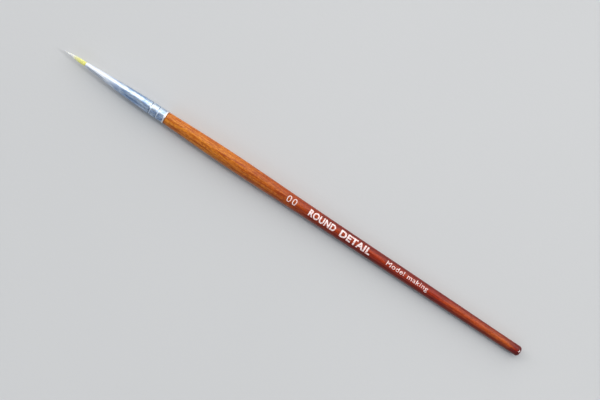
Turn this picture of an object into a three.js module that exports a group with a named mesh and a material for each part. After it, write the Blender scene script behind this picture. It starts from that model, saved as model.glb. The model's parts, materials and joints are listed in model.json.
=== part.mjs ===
// Fine detail brush, size 00: a pointed round tuft of synthetic filament in a seamless metal ferrule,
// on a turned wooden handle with a belly behind the ferrule and a slim tail.
// Millimetres, +Z up. The brush lies at rest on Z = 0, on its belly and its tail, with its point
// toward +X. The origin is under the middle of its length.

import * as THREE from "three";

// Lengths along the brush's own axis. A place on the axis is measured from the end of the tail.
const HANDLE_SHOWN = 140.1;
const FERRULE_LENGTH = 31.5;
const TUFT_OUT = 8.4;
const REAR_EDGE = HANDLE_SHOWN;
const MOUTH = REAR_EDGE + FERRULE_LENGTH;

// Every round piece has the same number of flats, in line with each other, with a corner straight down.
const SIDES = 12;
// Clearance between two pieces that touch.
const FIT = 0.03;
// Distance between neighbouring rings of corners along each piece, and the least there is anywhere.
// The handle's rings are counted back from the ferrule, so that one is on the crest of its belly.
const HANDLE_STEP = 9;
const HANDLE_RINGS = 14;
const FERRULE_STEP = 1.7;
const EPOXY_STEP = 2;
const TUFT_STEP = 0.5;
const LEAST_STEP = 0.1;
// Angles of the rings round a quarter-round edge, short of its far end.
const QUARTER_ROUND = [0, 18, 36, 54, 72].map(THREE.MathUtils.degToRad);

// Handle: radius at distances behind the ferrule's rear edge.
const HANDLE_RADII = [
  [0, 2.11],
  [8, 2.33],
  [17, 2.56],
  [27, 2.65],
  [38, 2.56],
  [55, 2.33],
  [75, 2.15],
  [97, 2.04],
  [136, 1.75],
];
const TAIL_ROUNDING = 1.0;
const TENON_LENGTH = 13.5;
const TENON_CHAMFER = 0.3;

// Ferrule: outer radius at distances behind its mouth.
const FERRULE_RADII = [
  [0, 0.83],
  [5, 1.13],
  [10, 1.43],
  [15, 1.7],
  [20, 1.93],
  [25, 2.08],
  [FERRULE_LENGTH, 2.13],
];
const WALL_AT_REAR = 0.25;
const WALL_AT_MOUTH = 0.14;
const RIM_LENGTH = 0.5;
const RIM_HEIGHT = 0.12;
// The rim's height at even steps along it, as a share of its full height.
const RIM_PROFILE = [0.4, 0.87, 1, 0.87, 0.4];
// Two grooves are rolled round the ferrule onto the tenon, at these distances from its rear edge.
const CRIMPS = [3.0, 5.7];
const CRIMP_WIDTH = 0.8;
const CRIMP_DEPTH = 0.16;

// Glue between the tenon and the ferrule.
const GLUE_FILM = 0.08;

// Filaments inside the ferrule: radius of the bundle at distances behind the mouth.
const ROOT_LENGTH = 12;
const ROOT_RADIUS = 0.66;
const ROOT_BACK_RADIUS = 0.74;
const WAIST_RADIUS = 0.6;
const ROOT_END_RADIUS = 0.82;
const WAIST_FLARE = 0.8;

// Thread wound round the waist of the bundle.
const THREAD_DIAMETER = 0.18;
const THREAD_PITCH = 0.21;
const THREAD_TURNS = 5;
const THREAD_MIDDLE = MOUTH - 9.3;
const THREAD_SIDES = 8;
const STEPS_PER_TURN = 16;

// Epoxy that fills the ferrule round the root and closes it behind.
const EPOXY_FRONT = MOUTH - 2;
const EPOXY_BACK = MOUTH - 14;
const EPOXY_HOLLOW = 0.5;

// Free filaments: radius of the tuft at distances in front of the mouth. The tuft bends at its pivot.
const TUFT_RADII = [
  [0, 0.7],
  [1, 0.74],
  [2, 0.735],
  [3, 0.68],
  [4, 0.58],
  [5, 0.46],
  [6, 0.34],
  [7, 0.21],
  [TUFT_OUT, 0.02],
];
const PIVOT = MOUTH + 0.76;
const TUFT_BASE_RADIUS = 0.7;

const LACQUERED_WOOD = { color: 0xa64e25, roughness: 0.3, metalness: 0 };
const FERRULE_METAL = { color: 0xc3cfdd, roughness: 0.28, metalness: 1 };
const FILAMENT = { color: 0xe2e29a, roughness: 0.5, metalness: 0 };
const THREAD = { color: 0xe9e4d6, roughness: 0.85, metalness: 0 };
const EPOXY = { color: 0xb98a4a, roughness: 0.3, metalness: 0 };
const WHITE_GLUE = { color: 0xe6e0cc, roughness: 0.6, metalness: 0 };

// A smooth radius through a list of [distance, radius].
function smoothRadius(stations) {
  const distances = stations.map(([distance]) => distance);
  const radii = stations.map(([, radius]) => radius);
  const curve = new THREE.CubicInterpolant(distances, radii, 1, new Float64Array(1));
  return (distance) => curve.evaluate(distance)[0];
}

const handleCurve = smoothRadius(HANDLE_RADII);
const ferruleCurve = smoothRadius(FERRULE_RADII);
const tuftCurve = smoothRadius(TUFT_RADII);

// Places from one end of a stretch to the other, no more than a step apart.
function evenPlaces(from, to, step) {
  const count = Math.ceil(Math.abs(to - from) / step);
  return Array.from({ length: count + 1 }, (_, i) => from + ((to - from) * i) / count);
}

// Places along the ferrule's rear part, close together across each crimp and the rim.
function crimpedPlaces(to) {
  const fine = CRIMPS.flatMap((distance) => {
    const centre = REAR_EDGE + distance;
    return evenPlaces(centre - CRIMP_WIDTH / 2, centre + CRIMP_WIDTH / 2, CRIMP_WIDTH / 6);
  });
  const coarse = evenPlaces(REAR_EDGE + 1.5 * RIM_LENGTH, to, FERRULE_STEP).filter((place) =>
    fine.every((other) => Math.abs(other - place) > LEAST_STEP),
  );
  return [...fine, ...coarse].sort((a, b) => a - b);
}

// How far the metal is pressed in at a place.
function crimpDepth(place) {
  const depths = CRIMPS.map((distance) => {
    const away = Math.abs(place - REAR_EDGE - distance) / (CRIMP_WIDTH / 2);
    return away < 1 ? (CRIMP_DEPTH * (1 + Math.cos(Math.PI * away))) / 2 : 0;
  });
  return Math.max(...depths);
}

// The ferrule's metal without its rim: outer and inner radius at a place.
function ferruleOuter(place) {
  return ferruleCurve(MOUTH - place) - crimpDepth(place);
}

function ferruleInner(place) {
  const wall = THREE.MathUtils.mapLinear(place, REAR_EDGE, MOUTH, WALL_AT_REAR, WALL_AT_MOUTH);
  return ferruleOuter(place) - wall;
}

// Solid of revolution about the brush's axis, from a list of [place, radius].
function turned(outline) {
  const points = outline.map(([place, radius]) => new THREE.Vector2(radius, place));
  return new THREE.LatheGeometry(points, SIDES).rotateZ(-Math.PI / 2);
}

function named(name, geometry, finish) {
  const mesh = new THREE.Mesh(geometry, new THREE.MeshStandardMaterial(finish));
  mesh.name = name;
  return mesh;
}

// Radius of the tenon under the ferrule and the film of glue.
function tenonRadius(place) {
  return ferruleInner(place) - FIT - GLUE_FILM - FIT;
}

// Wooden handle: rounded tail with a small flat end, long taper, belly and a tenon at the front.
function makeHandle() {
  const tailRadius = handleCurve(REAR_EDGE - TAIL_ROUNDING);
  const rounding = QUARTER_ROUND.map((angle) => [
    TAIL_ROUNDING * (1 - Math.sin(angle)),
    tailRadius - TAIL_ROUNDING * (1 - Math.cos(angle)),
  ]);
  const flatEnd = [0, tailRadius - TAIL_ROUNDING];
  const shaft = Array.from({ length: HANDLE_RINGS }, (_, i) => {
    const distance = HANDLE_STEP * (HANDLE_RINGS - i);
    return [REAR_EDGE - distance, handleCurve(distance)];
  });
  const tenonFront = REAR_EDGE + TENON_LENGTH;
  const tenon = crimpedPlaces(tenonFront - TENON_CHAMFER).map((place) => [place, tenonRadius(place)]);
  return turned([
    [0, 0],
    flatEnd,
    ...rounding.reverse(),
    ...shaft,
    [REAR_EDGE - FIT, handleCurve(FIT)],
    [REAR_EDGE - FIT, tenonRadius(REAR_EDGE)],
    ...tenon,
    [tenonFront, tenonRadius(tenonFront) - TENON_CHAMFER],
    [tenonFront, 0],
  ]);
}

// Seamless tube, drawn down to a thin lip at the mouth, with a raised rim at the rear.
function makeFerrule() {
  const rim = RIM_PROFILE.map((share, i) => {
    const place = REAR_EDGE + (RIM_LENGTH * i) / (RIM_PROFILE.length - 1);
    return [place, ferruleOuter(place) + share * RIM_HEIGHT];
  });
  const places = crimpedPlaces(MOUTH);
  const outside = places.map((place) => [place, ferruleOuter(place)]);
  const inside = places.map((place) => [place, ferruleInner(place)]);
  const rearInside = [REAR_EDGE, ferruleInner(REAR_EDGE)];
  return turned([rearInside, ...rim, ...outside, ...inside.reverse(), rearInside]);
}

// Film of glue between the tenon and the ferrule, following the crimps.
function makeHandleGlue() {
  const places = [REAR_EDGE, ...crimpedPlaces(REAR_EDGE + TENON_LENGTH - TENON_CHAMFER)];
  const outside = places.map((place) => [place, ferruleInner(place) - FIT]);
  const inside = places.map((place) => [place, tenonRadius(place) + FIT]);
  return turned([inside[0], ...outside, ...inside.reverse()]);
}

// Outline of the filament bundle inside the ferrule, from its splayed end to the mouth.
function rootOutline(extra) {
  const waist = (THREAD_TURNS * THREAD_PITCH + THREAD_DIAMETER) / 2 + FIT;
  return [
    [MOUTH - ROOT_LENGTH - extra, ROOT_END_RADIUS + extra],
    [THREAD_MIDDLE - waist - WAIST_FLARE, ROOT_BACK_RADIUS + extra],
    [THREAD_MIDDLE - waist, WAIST_RADIUS + extra],
    [THREAD_MIDDLE + waist, WAIST_RADIUS + extra],
    [THREAD_MIDDLE + waist + WAIST_FLARE, ROOT_RADIUS + extra],
  ];
}

function makeTuftRoot() {
  return turned([
    [MOUTH - ROOT_LENGTH, 0],
    ...rootOutline(0),
    [MOUTH, ROOT_RADIUS],
    [MOUTH, 0],
  ]);
}

// A coil of thread round the waist of the bundle.
class ThreadPath extends THREE.Curve {
  getPoint(t) {
    const angle = t * THREAD_TURNS * 2 * Math.PI;
    const radius = WAIST_RADIUS + FIT + THREAD_DIAMETER / 2 + FIT / 2;
    const place = THREAD_MIDDLE + (t - 0.5) * THREAD_TURNS * THREAD_PITCH;
    return new THREE.Vector3(place, radius * Math.cos(angle), radius * Math.sin(angle));
  }
}

function makeBindingThread() {
  const section = new THREE.Shape();
  section.absarc(0, 0, THREAD_DIAMETER / 2, 0, 2 * Math.PI);
  return new THREE.ExtrudeGeometry(section, {
    steps: THREAD_TURNS * STEPS_PER_TURN,
    curveSegments: THREAD_SIDES / 2,
    bevelEnabled: false,
    extrudePath: new ThreadPath(),
  });
}

// Epoxy: a plug behind the root and a sleeve round it, with a groove that holds the thread.
function makeRootEpoxy() {
  const places = evenPlaces(EPOXY_BACK, EPOXY_FRONT, EPOXY_STEP);
  const outside = places.map((place) => [place, ferruleInner(place) - FIT]);
  const [rootEnd, beforeWaist, waistBack, waistFront, afterWaist] = rootOutline(FIT);
  const grooveRadius = WAIST_RADIUS + THREAD_DIAMETER + 3 * FIT;
  return turned([
    [EPOXY_BACK + EPOXY_HOLLOW, 0],
    ...outside,
    [EPOXY_FRONT, ROOT_RADIUS + FIT],
    afterWaist,
    [waistFront[0], grooveRadius],
    [waistBack[0], grooveRadius],
    beforeWaist,
    rootEnd,
    [rootEnd[0], 0],
  ]);
}

// The free filaments: a round base that turns in front of the mouth, a slight belly and a fine point.
function makeTuft() {
  const base = QUARTER_ROUND.map((angle) => [
    PIVOT - TUFT_BASE_RADIUS * Math.cos(angle),
    TUFT_BASE_RADIUS * Math.sin(angle),
  ]);
  const sides = evenPlaces(PIVOT, MOUTH + TUFT_OUT, TUFT_STEP).map((place) => [
    place,
    tuftCurve(place - MOUTH),
  ]);
  return turned([...base, ...sides, [MOUTH + TUFT_OUT, 0]]);
}

// The brush along its own axis, which is X here, with the end of its tail at the origin.
const brush = new THREE.Group();
brush.add(
  named("handle", makeHandle(), LACQUERED_WOOD),
  named("ferrule", makeFerrule(), FERRULE_METAL),
  named("handle_glue", makeHandleGlue(), WHITE_GLUE),
  named("tuft_root", makeTuftRoot(), FILAMENT),
  named("binding_thread", makeBindingThread(), THREAD),
  named("root_epoxy", makeRootEpoxy(), EPOXY),
  named("tuft", makeTuft(), FILAMENT),
);

// Laid down: the tail drops until belly and tail both touch the surface.
function restAngle() {
  const tailRadius = handleCurve(REAR_EDGE - TAIL_ROUNDING);
  const slopes = Array.from({ length: HANDLE_RINGS }, (_, i) => {
    const distance = HANDLE_STEP * (i + 1);
    return (handleCurve(distance) - tailRadius) / (REAR_EDGE - distance - TAIL_ROUNDING);
  });
  return Math.atan(Math.max(...slopes));
}

brush.rotation.y = -restAngle();
const laid = new THREE.Box3().setFromObject(brush, true);
const middle = laid.getCenter(new THREE.Vector3());
brush.position.set(-middle.x, -middle.y, -laid.min.z);

export default brush;
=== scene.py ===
"""Looks of a fine detail brush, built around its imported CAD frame.

Lengths are millimetres in the brush's own space: X runs from the end of the tail to the point of the
tuft, Y to the left and Z up. to_row() puts them into the row frame, in metres. Only the floor, the
lights and the camera's CLOSEST_SEEN are given in metres.
"""

import json
import math
import random

import bmesh
import bpy
import numpy as np
from mathutils import Matrix, Vector


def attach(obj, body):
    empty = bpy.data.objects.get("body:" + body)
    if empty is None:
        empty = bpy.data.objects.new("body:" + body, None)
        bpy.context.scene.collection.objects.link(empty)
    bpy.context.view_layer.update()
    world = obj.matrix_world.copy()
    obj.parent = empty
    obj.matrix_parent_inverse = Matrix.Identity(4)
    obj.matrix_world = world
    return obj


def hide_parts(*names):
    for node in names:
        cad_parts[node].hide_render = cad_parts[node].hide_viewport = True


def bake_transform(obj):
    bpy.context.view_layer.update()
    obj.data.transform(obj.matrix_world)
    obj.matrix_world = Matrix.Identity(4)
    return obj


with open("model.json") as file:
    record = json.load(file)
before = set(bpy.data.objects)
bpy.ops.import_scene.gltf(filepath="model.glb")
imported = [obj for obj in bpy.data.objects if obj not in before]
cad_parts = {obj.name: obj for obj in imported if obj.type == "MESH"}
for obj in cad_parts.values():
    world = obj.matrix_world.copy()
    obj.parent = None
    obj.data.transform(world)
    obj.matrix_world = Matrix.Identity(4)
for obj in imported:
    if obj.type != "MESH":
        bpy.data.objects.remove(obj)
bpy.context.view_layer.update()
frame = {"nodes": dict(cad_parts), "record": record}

MM = 0.001

# The brush's own space, from the mount on the end of its tail.
TAIL_MOUNT = next(m for m in frame["record"]["mounts"] if m["name"] == "tail_end")
TAIL = Vector(TAIL_MOUNT["pos_m"])
ALONG = -Vector(TAIL_MOUNT["axis"]).normalized()
LEFT = Vector((0, 1, 0))
UP = ALONG.cross(LEFT)
AXES = np.array([ALONG, LEFT, UP])

# How the object lies in the picture: millimetres from the picture's centre, to the right and up.
PICTURE_WIDTH = 197.3
TIP_IN_PICTURE = (-77.4, 49.2)
TAIL_IN_PICTURE = (72.6, -50.3)
LENS = 70.0
SENSOR = 36.0
CLOSEST_SEEN = 0.01

# Turned pieces: how many sides they have, and at most how far apart their rings of points are
TURNED_SIDES = 128
HANDLE_STEP = 1.2
FERRULE_STEP = 0.6
CRIMP_STEP = 0.05
# Rings of a CAD piece lie further apart than this.
RING_GAP = 0.02
# An edge is shaded sharp where its faces turn by more than this many degrees.
SHARP_EDGE = 35
SHARP_FILAMENT_EDGE = 80

# Handle: rounded edges at its tail and in front of its belly, and the dome on its end
TAIL_ROUNDING = 1.0
TAIL_STEPS = 12
TAIL_DOME = 0.08
DOME_RINGS = (0.35, 0.7)
SHOULDER_ROUNDING = 0.12
SHOULDER_STEPS = 6
# A small flat is worn on the tail's rounded edge: the way it faces, and how deep it is.
FLAT_FACES = Vector((-0.25, -0.10, 0.963))
FLAT_DEPTH = 0.06

# Ferrule: the rounded lip, and the length with the crimps, which has the closest rings
LIP_ROUNDING = 0.05
LIP_STEPS = 8
CRIMPED_LENGTH = 7
# A ring of the CAD ferrule that has corners outside only shows a thinner wall than this.
THINNEST_WALL = 0.05
# Fine folds where the mouth of the ferrule is drawn in: direction in degrees from the left, and depth.
FOLDS = [(-8, 0.020), (8, 0.030), (24, 0.034), (42, 0.040), (64, 0.055), (161, 0.012)]
DEEPEST_FOLD = max(depth for _, depth in FOLDS)
FOLD_WIDTH = math.radians(7)
FOLD_LENGTH = 9.5
# Folds turn by this many degrees a millimetre, and have begun this far in front of the mouth.
FOLD_TWIST = 0.8
FOLD_LEAD = 0.4
# The two rolled grooves lie between these distances from the ferrule's rear edge.
GROOVED = (1.4, 7.1)
DEEPEST_GROOVE = 0.16
# A groove's rear wall gets its full painted highlight where it falls by this much a millimetre.
STEEPEST_WALL = 0.6
# Painted shade sits on the front wall of a groove, this far from its middle, and is fainter than in a
# fold.
SHADE_SHIFT = 0.14
GROOVE_SHADE = 0.5

# Tuft
SEED = 4
FILAMENTS = 300
FILAMENT_SIDES = 5
FILAMENT_RADIUS = 0.040
FILAMENT_TIP_RADIUS = 0.004
GOLDEN_ANGLE = math.pi * (3 - math.sqrt(5))
# Rings of a filament: evenly spaced in the ferrule, and then crowded towards the mouth.
ROOT_STEP = 1.0
FREE_RINGS = 26
FREE_CROWDING = 1.3
# The bundle clears the ferrule by MOUTH_FIT at the mouth, and is the CAD tuft's from FREE_FROM on.
MOUTH_FIT = 0.01
FREE_FROM = 0.9
# Filaments further out than CORE, as a share of the bundle's radius, end this much earlier or less.
CORE = 0.25
SHORTEST_OUTSIDE = 1.3
# How filaments differ: in direction, in radians, and in end and waviness, in millimetres.
TURN_SPREAD = (-0.25, 0.25)
END_SPREAD = (0, 0.12)
WAVE_SPREAD = (0.006, 0.030)
# Their shortening on the outside and their thickness are multiplied by these.
DROP_SPREAD = (0.2, 1.3)
THICKNESS_SPREAD = (0.9, 1.08)
# A few filaments stray outward by this much at their tips.
STRAYS = 5
STRAY_SPREAD = (0.05, 0.16)

# Printing: name, words, from and to (behind the ferrule), height, weight and letter spacing
PRINTS = [
    ("print_size", "00", 47.9, 51.5, 2.3, -0.008, 1.2),
    ("print_kind", "ROUND", 56.5, 66.8, 2.45, 0.035, 1.08),
    ("print_use", "DETAIL", 68.7, 80.6, 2.45, 0.035, 1.08),
    ("print_craft", "Model making", 86.9, 103.1, 2.15, 0.0, 1.1),
]
# The words are turned this far about the handle, in radians, from its top.
PRINT_TURN = 0.10
INK_THICKNESS = 0.02
INK_STRIP = 0.15
LETTER_CURVE_STEPS = 9
# Corners of a letter closer than these are joined: before it is cut in strips, and afterwards.
SAME_CORNER = 1e-4
SHORTEST_EDGE = 1e-3
CUT_TOLERANCE = 1e-5

FLOOR_HALF = 5.0
# Lights: name, place and size in metres, power in watts, and colour
LIGHTS = [
    ("key", (0.15, -1.90, 1.60), (5.1, 3.4), 98, (1.0, 0.98, 0.95)),
    ("strip", (0.15, 1.86, 1.80), (3.6, 0.66), 6.4, (0.85, 0.93, 1.0)),
    ("tip_side", (2.25, -0.30, 1.20), (1.5, 1.5), 20, (1.0, 1.0, 1.0)),
    ("tail_side", (-1.50, -0.39, 1.52), (0.30, 0.30), 15, (1.0, 1.0, 1.0)),
]
STUDIO_COLOUR = (0.40, 0.45, 0.53, 1)
STUDIO_STRENGTH = 0.55


# ---------------------------------------------------------------- from the frame


def to_row(points):
    """Points in the brush's own space, in the row frame in metres."""
    return np.asarray(points) * MM @ AXES + np.array(TAIL)


def rings(node):
    """Places, inner radii and outer radii of a turned CAD node's rings of vertices."""
    corners = np.array([v.co for v in frame["nodes"][node].data.vertices])
    local = (corners - np.array(TAIL)) @ AXES.T / MM
    local = local[np.argsort(local[:, 0])]
    groups = np.split(local, np.where(np.diff(local[:, 0]) > RING_GAP)[0] + 1)
    found = []
    for group in groups:
        radii = np.hypot(group[:, 1], group[:, 2])
        found.append((group[:, 0].mean(), radii.min(), radii.max()))
    return np.array(found).T


def smooth_through(places, radii):
    """A function of place that passes smoothly through the given radii."""
    slopes = np.gradient(radii, places)

    def radius(place):
        i = np.clip(np.searchsorted(places, place) - 1, 0, len(places) - 2)
        width = places[i + 1] - places[i]
        t = np.clip((place - places[i]) / width, 0, 1)
        rise = radii[i + 1] - radii[i]
        ease = t * t * (3 - 2 * t)
        lead = t * (1 - t) * ((1 - t) * slopes[i] - t * slopes[i + 1]) * width
        return radii[i] + rise * ease + lead

    return radius


def spread(start, end, step):
    """Evenly spaced places from start to end, about a step apart."""
    return list(np.linspace(start, end, max(2, math.ceil(abs(end - start) / step) + 1)))


# ---------------------------------------------------------------- meshes


def new_piece(name, points, faces):
    """A mesh piece from points in the brush's own space."""
    mesh = bpy.data.meshes.new(name)
    mesh.from_pydata([tuple(p) for p in to_row(points)], [], faces)
    mesh.validate()
    piece = bpy.data.objects.new(name, mesh)
    bpy.context.scene.collection.objects.link(piece)
    return piece


def store(piece, name, values):
    """Keeps a number for each of the piece's points, for its material."""
    attribute = piece.data.attributes.new(name, "FLOAT", "POINT")
    attribute.data.foreach_set("value", np.array(values, np.float32))


def face_out(piece, sharp_degrees=SHARP_EDGE):
    """Turns every face outward and shades the piece smooth but for its sharp edges."""
    shape = bmesh.new()
    shape.from_mesh(piece.data)
    bmesh.ops.recalc_face_normals(shape, faces=shape.faces)
    shape.to_mesh(piece.data)
    shape.free()
    piece.data.shade_smooth()
    piece.data.set_sharp_from_angle(angle=math.radians(sharp_degrees))


def turned(name, outline, closed=False, relief=None):
    """A piece turned about the brush's axis from a list of (place, radius).

    relief(place, radius, angle) is added to each radius. A closed outline joins its end to its start.
    """
    points, loops, faces = [], [], []
    for place, radius in outline:
        if radius == 0:
            loops.append([len(points)] * TURNED_SIDES)
            points.append((place, 0, 0))
            continue
        loops.append(list(range(len(points), len(points) + TURNED_SIDES)))
        for i in range(TURNED_SIDES):
            angle = 2 * math.pi * i / TURNED_SIDES
            r = radius + (relief(place, radius, angle) if relief else 0)
            points.append((place, r * math.cos(angle), r * math.sin(angle)))
    pairs = list(zip(loops, loops[1:]))
    if closed:
        pairs.append((loops[-1], loops[0]))
    for a, b in pairs:
        for i in range(TURNED_SIDES):
            j = (i + 1) % TURNED_SIDES
            corners = dict.fromkeys((a[i], a[j], b[j], b[i]))
            faces.append(tuple(corners))
    piece = new_piece(name, points, faces)
    face_out(piece)
    return piece


# ---------------------------------------------------------------- handle


handle_places, _, handle_outer = rings("handle")
ferrule_places, ferrule_inner, ferrule_outer = rings("ferrule")
root_places, _, root_outer = rings("tuft_root")
tuft_places, _, tuft_outer = rings("tuft")
REAR_EDGE = ferrule_places[0]
MOUTH = ferrule_places[-1]
TIP = tuft_places[-1]
EPOXY_FRONT = rings("root_epoxy")[0][-1]


def handle_radius():
    """Radius of the shown part of the handle, in front of the tail's rounded edge."""
    shown = (handle_places > TAIL_ROUNDING - RING_GAP) & (handle_places < REAR_EDGE)
    return smooth_through(handle_places[shown], handle_outer[shown])


wood_radius = handle_radius()
ferrule_radius = smooth_through(ferrule_places, ferrule_outer)


def tail_outline():
    """The tail's end: a slight dome inside a rounded edge."""
    flat_radius = handle_outer[0]
    rounding = wood_radius(TAIL_ROUNDING) - flat_radius
    dome = [(0, 0)]
    dome += [(TAIL_DOME * t * t, flat_radius * t) for t in DOME_RINGS]
    edge = []
    for i in range(1, TAIL_STEPS + 1):
        angle = math.pi / 2 * i / TAIL_STEPS
        place = TAIL_DOME + (rounding - TAIL_DOME) * (1 - math.cos(angle))
        edge.append((place, flat_radius + rounding * math.sin(angle)))
    return [*dome, (TAIL_DOME, flat_radius), *edge]


def worn_flat():
    """Relief of the small flat on the tail's rounded edge."""
    steepness = math.hypot(FLAT_FACES.y, FLAT_FACES.z)
    reach = max(FLAT_FACES.x * x + steepness * r for x, r in tail_outline()) - FLAT_DEPTH

    def relief(place, radius, angle):
        outward = FLAT_FACES.y * math.cos(angle) + FLAT_FACES.z * math.sin(angle)
        if outward < steepness / 2:
            return 0
        return min(0, (reach - FLAT_FACES.x * place) / outward - radius)

    return relief


def make_handle():
    """Lacquered wooden handle, with its tenon inside the ferrule."""
    front = handle_places[handle_places < REAR_EDGE][-1]
    rounding_end = tail_outline()[-1][0]
    places = spread(rounding_end, front - SHOULDER_ROUNDING, HANDLE_STEP)[1:]
    body = [(x, wood_radius(x)) for x in places]
    shoulder = []
    for i in range(1, SHOULDER_STEPS + 1):
        angle = math.pi / 2 * i / SHOULDER_STEPS
        place = front - SHOULDER_ROUNDING * (1 - math.sin(angle))
        shoulder.append((place, wood_radius(front) - SHOULDER_ROUNDING * (1 - math.cos(angle))))
    inside = handle_places > REAR_EDGE
    tenon = list(zip(handle_places[inside], handle_outer[inside]))
    foot = (front, tenon[0][1])
    end = (handle_places[-1], 0)
    outline = [*tail_outline(), *body, *shoulder, foot, *tenon, end]
    return turned("handle_wood", outline, relief=worn_flat())


# ---------------------------------------------------------------- ferrule


def fold_relief(place, _radius, angle):
    """Relief of the small lengthwise folds near the mouth."""
    behind = MOUTH - place
    if behind > FOLD_LENGTH:
        return 0
    fade = math.sqrt(math.sin(math.pi * min(1, (behind + FOLD_LEAD) / FOLD_LENGTH)))
    depth = 0
    for degrees, fold_depth in FOLDS:
        middle = math.radians(degrees - FOLD_TWIST * behind)
        away = math.remainder(angle - middle, 2 * math.pi) / FOLD_WIDTH
        depth += fold_depth * math.exp(-away * away * 2)
    return -depth * fade


def make_ferrule():
    """Drawn metal tube with a raised rear rim, two rolled crimps and a thin rounded lip."""
    walled = ferrule_outer - ferrule_inner > THINNEST_WALL
    inner = smooth_through(ferrule_places[walled], ferrule_inner[walled])
    crimps_end = REAR_EDGE + CRIMPED_LENGTH
    dense = spread(REAR_EDGE, crimps_end, CRIMP_STEP)
    sparse = spread(crimps_end, MOUTH - LIP_ROUNDING, FERRULE_STEP)[1:]
    outside = [(x, ferrule_radius(x)) for x in dense + sparse]
    wall = ferrule_outer[-1] - ferrule_inner[-1]
    lip = []
    for i in range(1, LIP_STEPS):
        angle = math.pi * i / LIP_STEPS
        place = MOUTH - LIP_ROUNDING + LIP_ROUNDING * math.sin(angle)
        lip.append((place, ferrule_inner[-1] + wall / 2 * (1 + math.cos(angle))))
    inside = [(x, inner(x)) for x in reversed(spread(REAR_EDGE, MOUTH - LIP_ROUNDING, FERRULE_STEP))]
    outline = [*outside, *lip, *inside]
    tube = turned("ferrule_tube", outline, closed=True, relief=fold_relief)
    angles = [2 * math.pi * i / TURNED_SIDES for i in range(TURNED_SIDES)]
    # Kept per point: the depth of the folds and grooves, for their painted shade, and the fall of the
    # grooves' rear walls, for their painted highlight.
    store(tube, "hollow", [hollow_depth(place, angle) for place, _ in outline for angle in angles])
    store(tube, "wall_highlight", np.repeat([rear_wall(place) for place, _ in outline], TURNED_SIDES))
    return tube


def hollow_depth(place, angle):
    """How deep a groove or a fold is just behind a point on the ferrule, from 0 to 1, for the painted
    shade in it.
    """
    ends = [REAR_EDGE + distance for distance in GROOVED]
    place -= SHADE_SHIFT
    if not ends[0] < place < ends[1]:
        return -fold_relief(place, 0, angle) / DEEPEST_FOLD
    ungrooved = np.interp(place, ends, [ferrule_radius(end) for end in ends])
    return GROOVE_SHADE * max(0, ungrooved - ferrule_radius(place)) / DEEPEST_GROOVE


def rear_wall(place):
    """How steeply the rear wall of a groove falls at a place on the ferrule, from 0 to 1."""
    if not GROOVED[0] < place - REAR_EDGE < GROOVED[1]:
        return 0
    fall = ferrule_radius(place - CRIMP_STEP) - ferrule_radius(place + CRIMP_STEP)
    return min(1, max(0, fall / (2 * CRIMP_STEP * STEEPEST_WALL)))


# ---------------------------------------------------------------- tuft


def bundle_radius():
    """Radius of the bundle of filaments: held in the epoxy, then filling the mouth, then free."""
    held = root_places < EPOXY_FRONT
    free = tuft_places > MOUTH + FREE_FROM
    places = [*root_places[held], EPOXY_FRONT, MOUTH, *tuft_places[free]]
    mouth_radius = ferrule_inner[-1] - MOUTH_FIT
    radii = [*root_outer[held], root_outer[-1], mouth_radius, *tuft_outer[free]]
    return smooth_through(np.array(places), np.array(radii))


def filament_places(end):
    """Places of a filament's rings, closer together round the waist and at the mouth."""
    root = spread(root_places[0], root_places[-1], ROOT_STEP)
    waist = list(root_places[1:-1])
    shares = np.linspace(0, 1, FREE_RINGS + 1)[1:] ** FREE_CROWDING
    free = [MOUTH + (end - MOUTH) * share for share in shares]
    return np.array(sorted(set(np.round(root + waist + free, 4))))


def filament_line(i, chance, envelope):
    """Centreline and radii of one filament."""
    share = math.sqrt((i + chance.uniform(0.1, 0.9)) / FILAMENTS)
    turn = i * GOLDEN_ANGLE + chance.uniform(*TURN_SPREAD)
    drop = SHORTEST_OUTSIDE * max(0, share - CORE) ** 1.6 * chance.uniform(*DROP_SPREAD)
    end = TIP - drop - chance.uniform(*END_SPREAD)
    places = filament_places(end)
    free = np.clip((places - MOUTH) / (end - MOUTH), 0, 1)
    thick = FILAMENT_RADIUS * chance.uniform(*THICKNESS_SPREAD)
    taper = 1 - free ** 2.5
    radii = FILAMENT_TIP_RADIUS + (thick - FILAMENT_TIP_RADIUS) * taper
    out = share * (envelope(places) - radii)
    wave = chance.uniform(*WAVE_SPREAD) * np.sin(free * chance.uniform(3, 7) + chance.uniform(0, 6))
    out = np.maximum(out + wave * free, 0)
    if i >= FILAMENTS - STRAYS:
        out = out + chance.uniform(*STRAY_SPREAD) * free ** 3
    angles = turn + chance.uniform(*TURN_SPREAD) * free ** 2
    return np.stack([places, out * np.cos(angles), out * np.sin(angles)], axis=1), radii


def make_tuft():
    """Synthetic filaments, each one whole from the epoxy to its own fine tip."""
    chance = random.Random(SEED)
    envelope = bundle_radius()
    points, faces, ahead, strand = [], [], [], []
    spokes = [2 * math.pi * k / FILAMENT_SIDES for k in range(FILAMENT_SIDES)]
    ring = np.array([(0, math.cos(a), math.sin(a)) for a in spokes])
    for i in range(FILAMENTS):
        line, radii = filament_line(i, chance, envelope)
        tint = chance.random()
        first = len(points)
        for centre, radius in zip(line, radii):
            points.extend(centre + ring * radius)
            ahead.extend([centre[0] - MOUTH] * FILAMENT_SIDES)
            strand.extend([tint] * FILAMENT_SIDES)
        for a in range(first, len(points) - FILAMENT_SIDES, FILAMENT_SIDES):
            for k in range(FILAMENT_SIDES):
                n = (k + 1) % FILAMENT_SIDES
                faces.append((a + k, a + n, a + n + FILAMENT_SIDES, a + k + FILAMENT_SIDES))
        faces.append(tuple(range(first + FILAMENT_SIDES - 1, first - 1, -1)))
        faces.append(tuple(range(len(points) - FILAMENT_SIDES, len(points))))
    piece = new_piece("tuft_filaments", points, faces)
    store(piece, "ahead", ahead)
    store(piece, "strand", strand)
    face_out(piece, SHARP_FILAMENT_EDGE)
    return piece


# ---------------------------------------------------------------- printing


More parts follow.
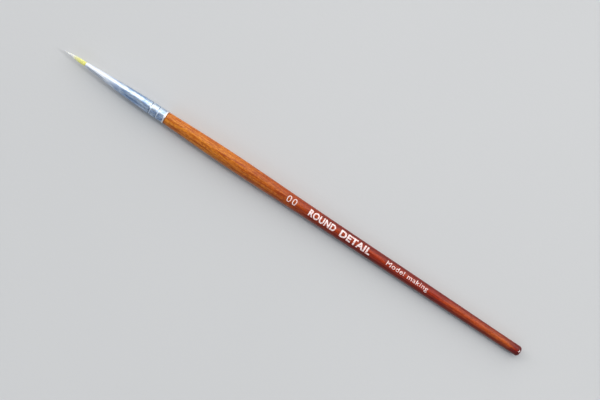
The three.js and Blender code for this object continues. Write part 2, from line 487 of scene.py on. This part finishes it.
def flat_letters(name, words, weight, spacing):
    """Solid letters lying flat, as a mesh 1 wide, 1 high and 1 thick with a corner at the origin."""
    curve = bpy.data.curves.new(name, "FONT")
    curve.body = words
    curve.offset = weight
    curve.space_character = spacing
    curve.extrude = 0.5
    curve.resolution_u = LETTER_CURVE_STEPS
    letters = bpy.data.objects.new(name, curve)
    bpy.context.scene.collection.objects.link(letters)
    graph = bpy.context.evaluated_depsgraph_get()
    mesh = bpy.data.meshes.new_from_object(letters.evaluated_get(graph))
    bpy.data.objects.remove(letters)
    bpy.data.curves.remove(curve)
    corners = np.array([v.co for v in mesh.vertices])
    low, high = corners.min(0), corners.max(0)
    size = Matrix.Diagonal((*(1 / (high - low)), 1))
    mesh.transform(size @ Matrix.Translation(-Vector(low)))
    return mesh


def cut_in_strips(shape, height):
    """Cuts flat letters into low strips, so that they can follow the handle's curve."""
    count = math.ceil(height / INK_STRIP)
    for k in range(1, count):
        everything = shape.verts[:] + shape.edges[:] + shape.faces[:]
        level = Vector((0, height * k / count, 0))
        cut = {"plane_co": level, "plane_no": (0, 1, 0), "dist": CUT_TOLERANCE}
        bmesh.ops.bisect_plane(shape, geom=everything, **cut)
    bmesh.ops.dissolve_degenerate(shape, dist=SHORTEST_EDGE, edges=shape.edges[:])


def make_print(name, words, start, end, height, weight, spacing):
    """Words in ink, wrapped on the handle, read with the tuft on the left."""
    mesh = flat_letters(name, words, weight, spacing)
    mesh.transform(Matrix.Diagonal((end - start, height, INK_THICKNESS, 1)))
    shape = bmesh.new()
    shape.from_mesh(mesh)
    bmesh.ops.remove_doubles(shape, verts=shape.verts[:], dist=SAME_CORNER)
    cut_in_strips(shape, height)
    middle = wood_radius(REAR_EDGE - (start + end) / 2)
    for vertex in shape.verts:
        place = REAR_EDGE - start - vertex.co.x
        turn = PRINT_TURN + (vertex.co.y - height / 2) / middle
        radius = wood_radius(place) - INK_THICKNESS / 2 + vertex.co.z
        vertex.co = (place, -radius * math.sin(turn), radius * math.cos(turn))
    shape.to_mesh(mesh)
    shape.free()
    corners = np.array([v.co for v in mesh.vertices])
    mesh.vertices.foreach_set("co", to_row(corners).astype(np.float32).ravel())
    piece = bpy.data.objects.new(name, mesh)
    bpy.context.scene.collection.objects.link(piece)
    face_out(piece)
    return piece


# ---------------------------------------------------------------- materials


class Recipe:
    """A material made of nodes, added one at a time."""

    def __init__(self, name):
        self.material = bpy.data.materials.new(name)
        self.material.use_nodes = True
        self.tree = self.material.node_tree
        self.shader = self.tree.nodes["Principled BSDF"]

    def put(self, socket, value):
        """Links another node's output to a socket, or sets the socket to a plain value."""
        if isinstance(value, bpy.types.NodeSocket):
            self.tree.links.new(value, socket)
        else:
            socket.default_value = value

    def add(self, kind, inputs, out=0, **settings):
        """Adds a node, fills its inputs and returns one of its outputs."""
        node = self.tree.nodes.new("ShaderNode" + kind)
        for key, value in settings.items():
            setattr(node, key, value)
        for key, value in inputs.items():
            self.put(node.inputs[key], value)
        return node.outputs[out]

    def finish(self, **values):
        """Sets the shader's own sockets. Underlines in a name stand for spaces."""
        for key, value in values.items():
            self.put(self.shader.inputs[key.replace("_", " ")], value)
        return self.material

    def brush_space(self):
        """Place on the object in the brush's own space, in millimetres."""
        turn = Matrix(AXES.T.tolist()).to_euler()
        place = self.add("TexCoord", {}, out="Object")
        inputs = {"Vector": place, "Location": TAIL, "Rotation": turn, "Scale": (MM, MM, MM)}
        return self.add("Mapping", inputs, vector_type="TEXTURE")

    def stored(self, name):
        """A number kept for each of the piece's points by store()."""
        return self.add("Attribute", {}, out="Fac", attribute_name=name)

    def stretched(self, vector, scale):
        return self.add("VectorMath", {0: vector, 1: scale}, operation="MULTIPLY")

    def noise(self, vector, scale=1.0, detail=3.0, roughness=0.5):
        inputs = {"Vector": vector, "Scale": scale, "Detail": detail, "Roughness": roughness}
        return self.add("TexNoise", inputs)

    def sum(self, a, b):
        return self.add("Math", {0: a, 1: b}, operation="ADD")

    def times(self, a, b):
        return self.add("Math", {0: a, 1: b}, operation="MULTIPLY")

    def between(self, value, low, high, to_low=0.0, to_high=1.0):
        """The value's way from low to high, carried over to another range, and kept in it."""
        inputs = {"Value": value, "From Min": low, "From Max": high, "To Min": to_low, "To Max": to_high}
        return self.add("MapRange", inputs)

    def part(self, vector, axis):
        return self.add("SeparateXYZ", {"Vector": vector}, out=axis)

    def mix(self, share, a, b, blend="MIX"):
        return self.add("Mix", {0: share, 6: a, 7: b}, out=2, data_type="RGBA", blend_type=blend)

    def ramp(self, value, stops):
        """Colours along a value from 0 to 1."""
        node = self.tree.nodes.new("ShaderNodeValToRGB")
        self.put(node.inputs[0], value)
        elements = node.color_ramp.elements
        while len(elements) < len(stops):
            elements.new(0.5)
        for element, (position, colour) in zip(elements, stops):
            element.position = position
            element.color = colour
        return node.outputs[0]

    def bump(self, height, distance, strength=1.0):
        return self.add("Bump", {"Height": height, "Distance": distance * MM, "Strength": strength})


def to_linear(level):
    """A screen value of 0 to 255 as linear light."""
    if level <= 10:
        return level / 255 / 12.92
    return ((level / 255 + 0.055) / 1.055) ** 2.4


def rgb(red, green, blue):
    """A colour from screen values of 0 to 255."""
    return (to_linear(red), to_linear(green), to_linear(blue), 1.0)


# The stain's colours, from the end of the tail to the ferrule.
STAIN = [
    (0.000, rgb(172, 78, 26)),
    (0.078, rgb(176, 82, 28)),
    (0.110, rgb(172, 72, 24)),
    (0.206, rgb(170, 68, 22)),
    (0.260, rgb(162, 50, 16)),
    (0.400, rgb(162, 52, 12)),
    (0.580, rgb(166, 64, 16)),
    (0.675, rgb(172, 84, 22)),
    (0.760, rgb(190, 106, 26)),
    (0.850, rgb(202, 122, 32)),
    (1.000, rgb(206, 126, 38)),
]
# Deeper stain near the tail and on its end, painted shade on the sides, the brown of pores, and painted
# shade at the ferrule
TAIL_RED = rgb(132, 26, 12)
END_RED = rgb(92, 10, 8)
SIDE_SHADE_RED = rgb(98, 10, 8)
PORE_BROWN = rgb(70, 26, 10)
GAP_SHADE = rgb(58, 24, 12)
# The wood's colour in its dark and its pale grain, as shares of the stain's red, green and blue
DARK_GRAIN = (0.54, 0.30, 0.20, 1)
PALE_GRAIN = (1.12, 1.3, 1.3, 1)


def stained(r, here):
    """Stain of the bare wood: amber to red, with a deep red tail, and painted shade on the sides of its
    red part.
    """
    along = r.part(here, "X")
    drift = r.noise(r.stretched(here, (0.05, 0.3, 0.3)), detail=2)
    place = r.sum(along, r.between(drift, 0.25, 0.75, -7.0, 7.0))
    stain = r.ramp(r.between(place, 0.0, float(REAR_EDGE)), STAIN)

    fine = r.noise(r.stretched(here, (0.5, 1.5, 1.5)), detail=3)
    from_end = r.sum(along, r.between(fine, 0.3, 0.7, -1.2, 1.2))
    stain = r.mix(r.between(from_end, 4.8, 3.0), stain, TAIL_RED)
    stain = r.mix(r.between(from_end, 2.6, 0.8), stain, END_RED)

    # Painted shade: deeper red towards the left and the right side of the red part, where the handle's
    # edges fall into shade.
    side = r.part(here, "Y")
    left_shade = r.between(side, 0.0, 1.3, 0.0, 0.8)
    right_shade = r.between(side, -0.4, -1.5, 0.0, 0.75)
    in_red_part = r.between(place, 92.0, 72.0)
    return r.mix(r.times(r.sum(left_shade, right_shade), in_red_part), stain, SIDE_SHADE_RED)


def lacquered_wood():
    """Fine-grained wood under clear gloss, amber in front and stained deep red behind."""
    r = Recipe("lacquered_wood")
    here = r.brush_space()
    stain = stained(r, here)
    deep = r.mix(1.0, stain, DARK_GRAIN, blend="MULTIPLY")
    pale = r.mix(1.0, stain, PALE_GRAIN, blend="MULTIPLY")

    bands = r.noise(r.stretched(here, (0.05, 1.1, 1.1)), detail=3, roughness=0.6)
    streaks = r.noise(r.stretched(here, (0.16, 2.6, 2.6)), detail=4, roughness=0.66)
    flecks = r.noise(r.stretched(here, (1.2, 4.4, 4.4)), detail=3, roughness=0.6)
    pores = r.noise(r.stretched(here, (0.5, 8.0, 8.0)), detail=2, roughness=0.4)
    pore_mark = r.between(pores, 0.58, 0.68)
    colour = r.mix(r.between(bands, 0.40, 0.60), pale, stain)
    colour = r.mix(r.between(streaks, 0.48, 0.62, 0.0, 0.95), colour, deep)
    colour = r.mix(r.between(flecks, 0.46, 0.61, 0.0, 0.7), colour, deep)
    colour = r.mix(r.times(pore_mark, 0.55), colour, PORE_BROWN)

    # Painted shade: darker wood in the gap just behind the ferrule's rear edge.
    gap_shade = r.between(r.part(here, "X"), float(REAR_EDGE) - 0.45, float(REAR_EDGE) - 0.1, 0.0, 0.7)
    colour = r.mix(gap_shade, colour, GAP_SHADE)
    height = r.sum(r.times(streaks, 0.5), r.times(pore_mark, -0.5))
    return r.finish(
        Base_Color=colour,
        Roughness=r.between(streaks, 0.3, 0.7, 0.42, 0.56),
        Specular_IOR_Level=0.1,
        Normal=r.bump(height, 0.012),
        Coat_Weight=0.6,
        Coat_Roughness=0.14,
        Coat_IOR=1.4,
        Coat_Tint=(1.0, 0.88, 0.82, 1),
    )


BRIGHT_METAL = rgb(222, 234, 246)
SMUDGE_BLUE = rgb(152, 178, 214)
LINE_BLUE = rgb(98, 126, 168)
STAIN_AND_SHADE_BLUE = rgb(66, 88, 128)
MOUTH_PALE = rgb(246, 247, 250)
HOLLOW_SHADE = rgb(34, 42, 58)
WALL_HIGHLIGHT_METAL = rgb(236, 243, 250)
RIM_HIGHLIGHT = rgb(246, 240, 238)


def ferrule_metal():
    """Bright drawn metal with lengthwise lines, handling smudges and cooler shallow stains, with painted
    shade on its left side.

    It is paler, rougher and less metallic towards the mouth. It has painted shade in its folds and
    grooves, and painted highlights on the rear walls of its grooves and on its rear rim.
    """
    r = Recipe("ferrule_metal")
    here = r.brush_space()
    along = r.part(here, "X")
    lines = r.noise(r.stretched(here, (0.10, 9.0, 9.0)), detail=4, roughness=0.65)
    smudges = r.noise(r.stretched(here, (0.30, 1.1, 1.1)), detail=4, roughness=0.65)
    spots = r.noise(r.stretched(here, (1.0, 2.4, 2.4)), detail=4, roughness=0.72)
    wall_highlight = r.between(r.stored("wall_highlight"), 0.25, 1.0)
    toward_mouth = r.between(along, float(MOUTH) - 16, float(MOUTH) - 7)
    rim = r.between(along, float(REAR_EDGE) + 0.5, float(REAR_EDGE) + 0.35)
    stain_and_shade_side = r.times(r.between(r.part(here, "Y"), -0.9, 1.4), r.between(toward_mouth, 0.0, 1.0, 1.0, 0.3))
    hollow_shade = r.times(r.between(r.stored("hollow"), 0.2, 0.65), r.between(spots, 0.36, 0.56, 0.6, 1.0))

    base = r.mix(r.between(smudges, 0.42, 0.60), BRIGHT_METAL, SMUDGE_BLUE)
    base = r.mix(r.between(lines, 0.5, 0.72, 0.0, 0.5), base, LINE_BLUE)
    # Blue stains, stronger on the left side, away from the key light: real stains with painted shade.
    base = r.mix(r.times(r.between(spots, 0.46, 0.64, 0.0, 0.7), stain_and_shade_side), base, STAIN_AND_SHADE_BLUE)
    # Paler, rougher and less metallic towards the mouth.
    base = r.mix(r.times(toward_mouth, 0.65), base, MOUTH_PALE)
    # Painted shade: darker in the folds and on the front walls of the grooves.
    base = r.mix(hollow_shade, base, HOLLOW_SHADE)
    # Painted highlight: pale, less metallic metal on the rear walls of the grooves.
    base = r.mix(r.times(wall_highlight, 0.8), base, WALL_HIGHLIGHT_METAL)
    # Painted highlight: the rear rim is painted pale so that it shows as a bright line.
    base = r.mix(rim, base, RIM_HIGHLIGHT)

    rough = r.sum(r.between(smudges, 0.35, 0.65, 0.29, 0.43), r.between(spots, 0.45, 0.7, 0.0, 0.12))
    rough = r.sum(rough, r.times(r.sum(toward_mouth, r.sum(rim, wall_highlight)), 0.15))
    return r.finish(
        Base_Color=base,
        Metallic=r.sum(1.0, r.times(r.sum(toward_mouth, wall_highlight), -0.5)),
        Specular_Tint=(0.62, 0.70, 0.82, 1),
        Roughness=rough,
        Normal=r.bump(r.sum(lines, spots), 0.006),
    )


# The filaments' colours, from the mouth of the ferrule to the point.
PALING = [
    (0.00, rgb(246, 244, 150)),
    (0.30, rgb(252, 252, 170)),
    (0.46, rgb(254, 254, 208)),
    (0.66, rgb(255, 255, 246)),
    (1.00, rgb(255, 255, 255)),
]
DARK_STRAND = rgb(240, 236, 214)


def filament_plastic():
    """Clear lime-yellow filament that pales to cream white where it tapers."""
    r = Recipe("filament")
    ahead = r.stored("ahead")
    strand = r.stored("strand")
    shift = r.between(strand, 0.0, 1.0, -0.5, 0.5)
    colour = r.ramp(r.between(r.sum(ahead, shift), 0.0, float(TIP - MOUTH)), PALING)
    darker = r.mix(1.0, colour, DARK_STRAND, blend="MULTIPLY")
    lime = r.between(ahead, 5.6, 3.6)
    return r.finish(
        Base_Color=r.mix(r.times(strand, lime), colour, darker),
        Roughness=r.between(strand, 0.0, 1.0, 0.3, 0.5),
        Subsurface_Weight=0.6,
        Subsurface_Radius=(0.4 * MM, 0.4 * MM, 0.25 * MM),
        Sheen_Weight=0.15,
    )


def print_ink():
    """White printing ink, a little thin in places so that the stain shows through pink."""
    r = Recipe("print_ink")
    here = r.brush_space()
    thin = r.noise(r.stretched(here, (2.2, 2.8, 2.8)), detail=3, roughness=0.65)
    colour = r.mix(r.between(thin, 0.45, 0.64), rgb(244, 234, 232), rgb(198, 136, 124))
    return r.finish(Base_Color=colour, Roughness=0.42, Normal=r.bump(thin, 0.004))


def clouded(name, colours, grain, roughness, depth):
    """A plain material with slight clouds of a second colour, for the pieces inside the ferrule.

    grain is how fine the clouds are along and across the brush.
    """
    r = Recipe(name)
    along, across = grain
    clouds = r.noise(r.stretched(r.brush_space(), (along, across, across)), detail=4)
    colour = r.mix(r.between(clouds, 0.35, 0.65), *colours)
    rough = r.between(clouds, 0.3, 0.7, roughness - 0.08, roughness + 0.08)
    return r.finish(Base_Color=colour, Roughness=rough, Normal=r.bump(clouds, depth))


# The CAD pieces inside the ferrule: node, slot, two colours, grain, roughness, depth of the bump
INSIDE = [
    ("handle_glue", "white_glue", (rgb(232, 226, 206), rgb(214, 204, 176)), (0.8, 2.2), 0.5, 0.01),
    ("binding_thread", "thread", (rgb(236, 230, 216), rgb(176, 164, 142)), (12.0, 0.8), 0.85, 0.03),
    ("root_epoxy", "epoxy", (rgb(196, 148, 80), rgb(160, 108, 50)), (0.9, 0.9), 0.2, 0.005),
]


# ---------------------------------------------------------------- stage


FLOOR_GREY = (0.52, 0.52, 0.515, 1)
FLOOR_PALE_GREY = (0.56, 0.56, 0.555, 1)


def make_floor():
    """A wide pale floor with the faint tooth of card."""
    mesh = bpy.data.meshes.new("floor")
    corners = [(x * FLOOR_HALF, y * FLOOR_HALF, 0) for x, y in ((-1, -1), (1, -1), (1, 1), (-1, 1))]
    mesh.from_pydata(corners, [], [(0, 1, 2, 3)])
    floor = bpy.data.objects.new("floor", mesh)
    bpy.context.scene.collection.objects.link(floor)
    r = Recipe("floor_card")
    tooth = r.noise(r.add("TexCoord", {}, out="Object"), scale=900, detail=3)
    clouds = r.noise(r.add("TexCoord", {}, out="Object"), scale=6, detail=2)
    colour = r.mix(clouds, FLOOR_GREY, FLOOR_PALE_GREY)
    floor.data.materials.append(r.finish(Base_Color=colour, Roughness=0.85, Normal=r.bump(tooth, 0.02)))


def make_light(name, place, size, power, colour):
    """A soft rectangular light that faces the middle of the brush."""
    lamp = bpy.data.lights.new(name, "AREA")
    lamp.shape = "RECTANGLE"
    lamp.size, lamp.size_y = size
    lamp.energy = power
    lamp.color = colour
    light = bpy.data.objects.new(name, lamp)
    light.location = place
    light.rotation_mode = "QUATERNION"
    light.rotation_quaternion = (-Vector(place)).to_track_quat("-Z", "Y")
    bpy.context.scene.collection.objects.link(light)


def make_studio():
    """The faint light that comes from all round."""
    world = bpy.data.worlds.new("studio")
    world.use_nodes = True
    background = world.node_tree.nodes["Background"]
    background.inputs["Color"].default_value = STUDIO_COLOUR
    background.inputs["Strength"].default_value = STUDIO_STRENGTH
    bpy.context.scene.world = world


def make_camera():
    """Straight above, with the point of the tuft at the upper left as in the picture."""
    tip = Vector(to_row([(TIP, 0, 0)])[0])
    to_tail = Vector(TAIL_IN_PICTURE) - Vector(TIP_IN_PICTURE)
    angle = math.atan2(-to_tail.y, to_tail.x)
    right = Vector((-math.cos(angle), -math.sin(angle), 0))
    up = Vector((math.sin(angle), -math.cos(angle), 0))
    height = PICTURE_WIDTH * MM * LENS / SENSOR
    centre = tip - right * TIP_IN_PICTURE[0] * MM - up * TIP_IN_PICTURE[1] * MM
    data = bpy.data.cameras.new("camera")
    data.lens = LENS
    data.sensor_width = SENSOR
    data.clip_start = CLOSEST_SEEN
    camera = bpy.data.objects.new("camera", data)
    turn = Matrix((right, up, Vector((0, 0, 1)))).transposed().to_4x4()
    camera.matrix_world = Matrix.Translation((centre.x, centre.y, tip.z + height)) @ turn
    bpy.context.scene.collection.objects.link(camera)
    bpy.context.scene.camera = camera


# ---------------------------------------------------------------- the scene


def dress(piece, material):
    """Gives a piece its material."""
    piece.data.materials.clear()
    piece.data.materials.append(material)


bpy.context.scene.view_settings.view_transform = "Standard"
make_floor()
for light in LIGHTS:
    make_light(*light)
make_studio()
make_camera()

handle = make_handle()
dress(handle, lacquered_wood())
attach(handle, "brush_body")
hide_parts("handle")

ferrule = make_ferrule()
dress(ferrule, ferrule_metal())
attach(ferrule, "brush_body")
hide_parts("ferrule")

tuft = make_tuft()
dress(tuft, filament_plastic())
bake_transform(tuft)
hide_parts("tuft", "tuft_root")

ink = print_ink()
for print_row in PRINTS:
    printed = make_print(*print_row)
    dress(printed, ink)
    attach(printed, "brush_body")

for node_name, slot, colours, grain, roughness, depth in INSIDE:
    dress(frame["nodes"][node_name], clouded(slot, colours, grain, roughness, depth))
